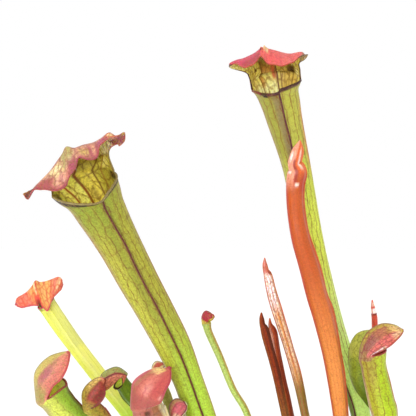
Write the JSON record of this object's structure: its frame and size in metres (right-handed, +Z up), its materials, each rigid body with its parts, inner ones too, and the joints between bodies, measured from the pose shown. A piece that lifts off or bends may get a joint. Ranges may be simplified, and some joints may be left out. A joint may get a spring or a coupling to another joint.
{
  "type": "potted pitcher plant",
  "caption": "Potted trumpet pitcher plant: tall green pitchers with frilled red-veined hoods, smaller hooded and unopened pitchers around them, in a plain dark round nursery pot of peaty soil.",
  "frame": {"origin": "The centre of the flat underside of the pot, on the surface it stands on.", "axes": "+Z is up, along the pot. -Y is the front, from which the two tall pitchers show their open mouths. +X is to the right of that view."},
  "size_m": [0.224, 0.14, 0.3853],
  "materials": {
    "pot": "fine moulded satin, slightly dusty",
    "soil": null,
    "rhizome": null,
    "leaf_green": null,
    "leaf_deep_green": null,
    "leaf_pink": null,
    "leaf_orange": null,
    "leaf_red": null
  },
  "bodies": {
    "root": {"pot": "pot", "soil": "soil", "rhizome_left": "rhizome", "rhizome_right": "rhizome", "pitcher_big_left": "leaf_green", "pitcher_tall": "leaf_green", "pitcher_lime": "leaf_green", "pitcher_hooded_left": "leaf_green", "pitcher_hooded_olive": "leaf_green", "pitcher_hooded_arching": "leaf_deep_green", "pitcher_hooded_pink": "leaf_pink", "pitcher_small_back": "leaf_green", "pitcher_small_front": "leaf_pink", "pitcher_slender": "leaf_green", "pitcher_hooded_right": "leaf_green", "pitcher_hooded_green": "leaf_deep_green", "pitcher_unopened_orange": "leaf_orange", "pitcher_unopened_veined": "leaf_orange", "pitcher_unopened_brown": "leaf_red", "pitcher_unopened_red": "leaf_red", "pitcher_unopened_tip": "leaf_red"}
  },
  "joints": []
}
